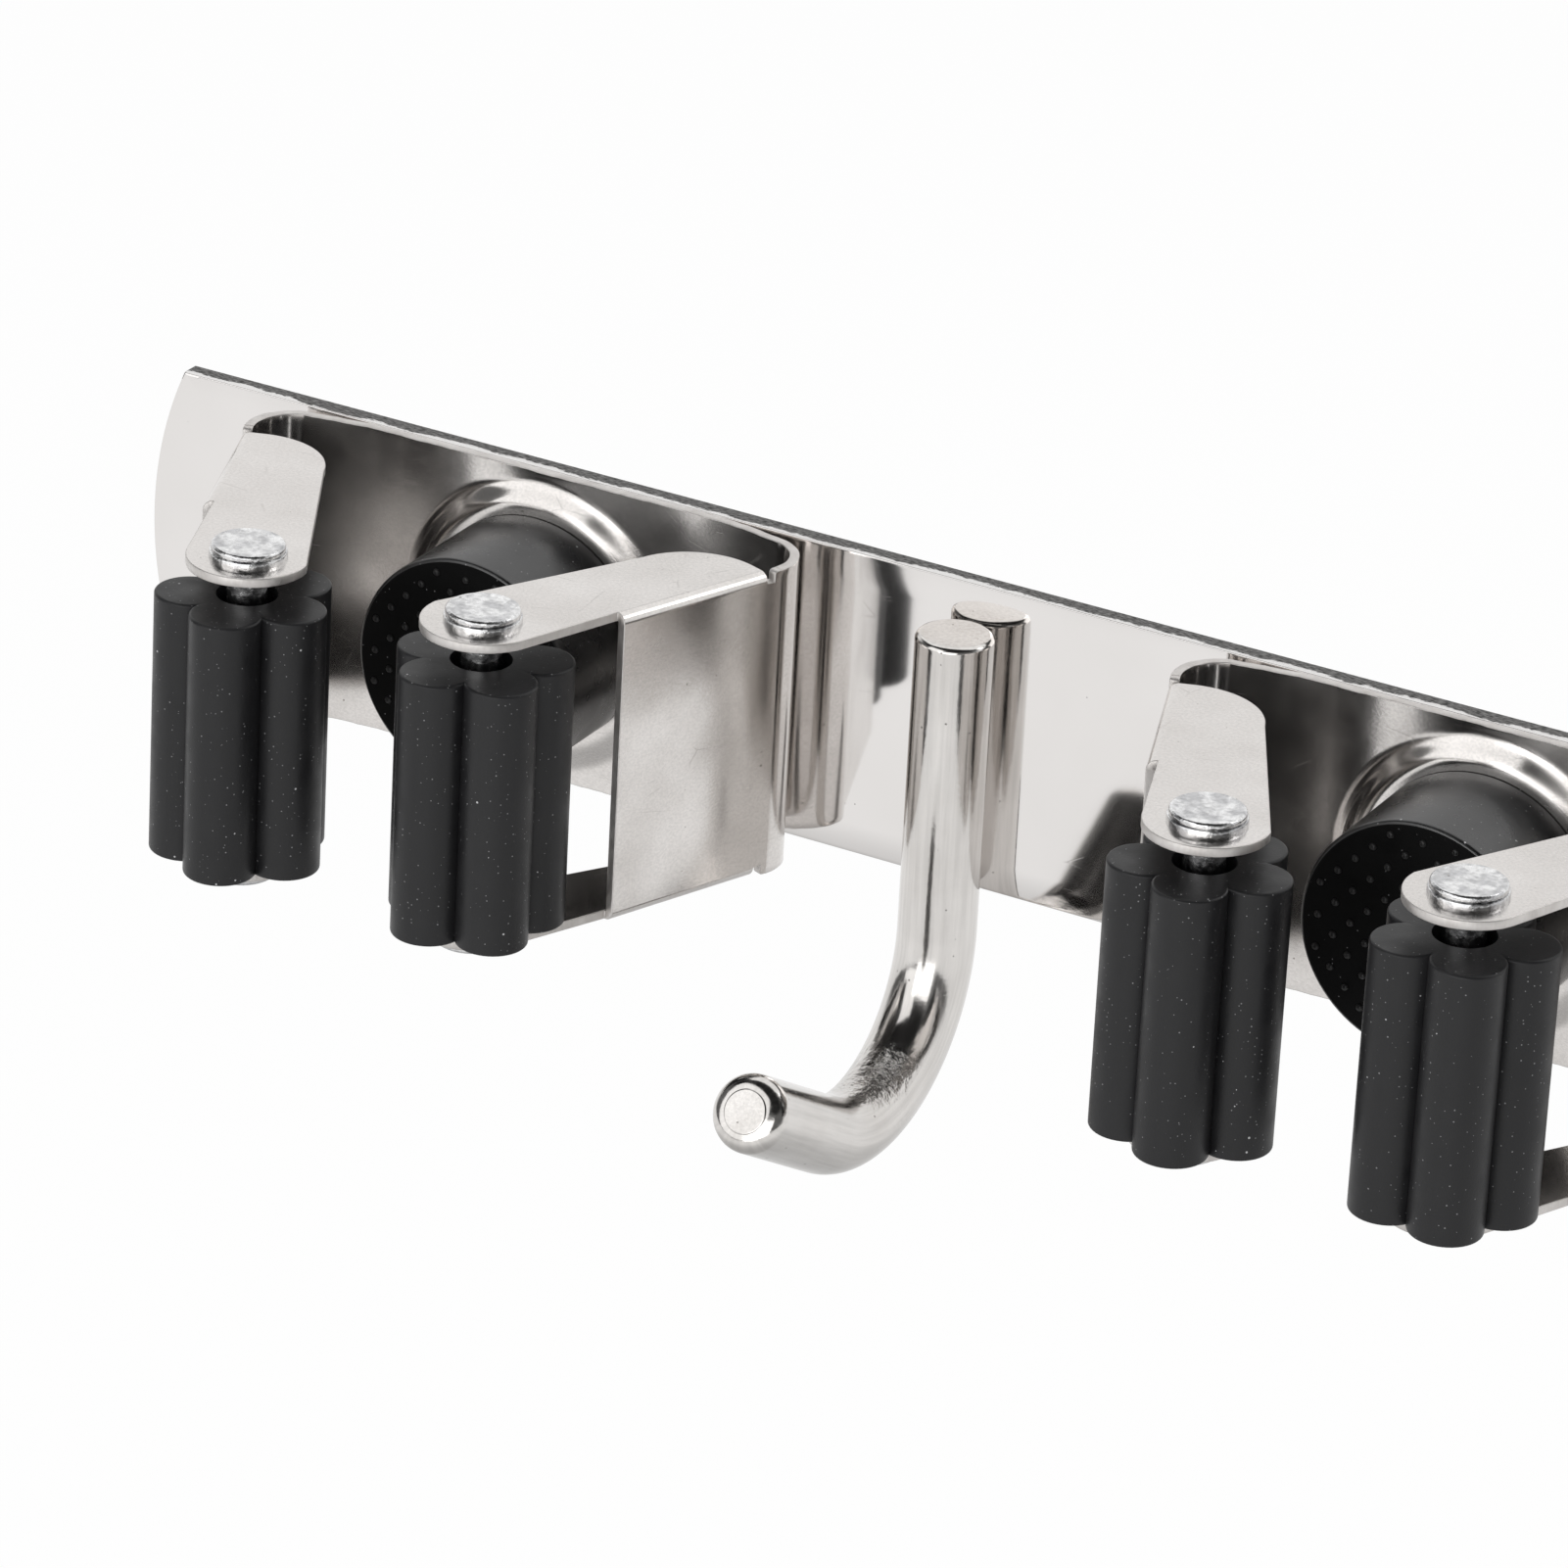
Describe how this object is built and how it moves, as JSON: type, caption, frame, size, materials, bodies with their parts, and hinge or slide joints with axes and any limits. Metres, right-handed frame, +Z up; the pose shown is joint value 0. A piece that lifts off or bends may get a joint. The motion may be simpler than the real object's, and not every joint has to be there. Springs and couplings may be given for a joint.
{
  "type": "wall mop holder rack",
  "caption": "Wall rack of polished steel: spring clips with lobed rubber rollers and a rubber post grip broom and mop handles, and a J-shaped rod hook stands between them.",
  "frame": {"origin": "middle of the plate's flat wall face", "axes": "+X along the plate to the right seen from the room, +Y into the wall, +Z up"},
  "size_m": [0.246, 0.0576, 0.0695],
  "materials": {
    "plate_steel": "mirror polished",
    "strip_steel": "bright rolled",
    "rivet_steel": "hammered",
    "hook_steel": "polished",
    "roller_rubber": "matt moulded",
    "post_rubber": "matt moulded",
    "insert_brass": "turned",
    "screw_steel": "zinc plated"
  },
  "bodies": {
    "rack": {"back_plate": "plate_steel", "hook": "hook_steel", "left_clip_base": "strip_steel", "right_clip_base": "strip_steel", "left_post": "post_rubber", "right_post": "post_rubber", "left_post_insert": "insert_brass", "right_post_insert": "insert_brass", "left_post_screw": "screw_steel", "right_post_screw": "screw_steel"},
    "left_outer_jaw": {"left_outer_arm": "strip_steel", "left_outer_pin": "rivet_steel"},
    "left_inner_jaw": {"left_inner_arm": "strip_steel", "left_inner_pin": "rivet_steel"},
    "right_inner_jaw": {"right_inner_arm": "strip_steel", "right_inner_pin": "rivet_steel"},
    "right_outer_jaw": {"right_outer_arm": "strip_steel", "right_outer_pin": "rivet_steel"},
    "left_outer_roller": {"left_outer_roller": "roller_rubber"},
    "left_inner_roller": {"left_inner_roller": "roller_rubber"},
    "right_inner_roller": {"right_inner_roller": "roller_rubber"},
    "right_outer_roller": {"right_outer_roller": "roller_rubber"}
  },
  "joints": [
    {"name": "left_outer_jaw_spring", "type": "hinge", "parent": "rack", "child": "left_outer_jaw", "pos_m": [-0.10352, -0.01281, -0.0004], "axis": [0, 0, -1], "range_deg": [0, 12], "stiffness_Nm_per_rad": 7},
    {"name": "left_inner_jaw_spring", "type": "hinge", "parent": "rack", "child": "left_inner_jaw", "pos_m": [-0.02648, -0.01281, -0.0004], "axis": [0, 0, 1], "range_deg": [0, 12], "stiffness_Nm_per_rad": 7},
    {"name": "right_inner_jaw_spring", "type": "hinge", "parent": "rack", "child": "right_inner_jaw", "pos_m": [0.02648, -0.01281, -0.0004], "axis": [0, 0, -1], "range_deg": [0, 12], "stiffness_Nm_per_rad": 7},
    {"name": "right_outer_jaw_spring", "type": "hinge", "parent": "rack", "child": "right_outer_jaw", "pos_m": [0.10352, -0.01281, -0.0004], "axis": [0, 0, 1], "range_deg": [0, 12], "stiffness_Nm_per_rad": 7},
    {"name": "left_outer_roller_spin", "type": "hinge", "parent": "left_outer_jaw", "child": "left_outer_roller", "pos_m": [-0.08155, -0.04645, -0.0004], "axis": [0, 0, 1], "continuous": true},
    {"name": "left_inner_roller_spin", "type": "hinge", "parent": "left_inner_jaw", "child": "left_inner_roller", "pos_m": [-0.04845, -0.04645, -0.0004], "axis": [0, 0, 1], "continuous": true},
    {"name": "right_inner_roller_spin", "type": "hinge", "parent": "right_inner_jaw", "child": "right_inner_roller", "pos_m": [0.04845, -0.04645, -0.0004], "axis": [0, 0, 1], "continuous": true},
    {"name": "right_outer_roller_spin", "type": "hinge", "parent": "right_outer_jaw", "child": "right_outer_roller", "pos_m": [0.08155, -0.04645, -0.0004], "axis": [0, 0, 1], "continuous": true}
  ]
}
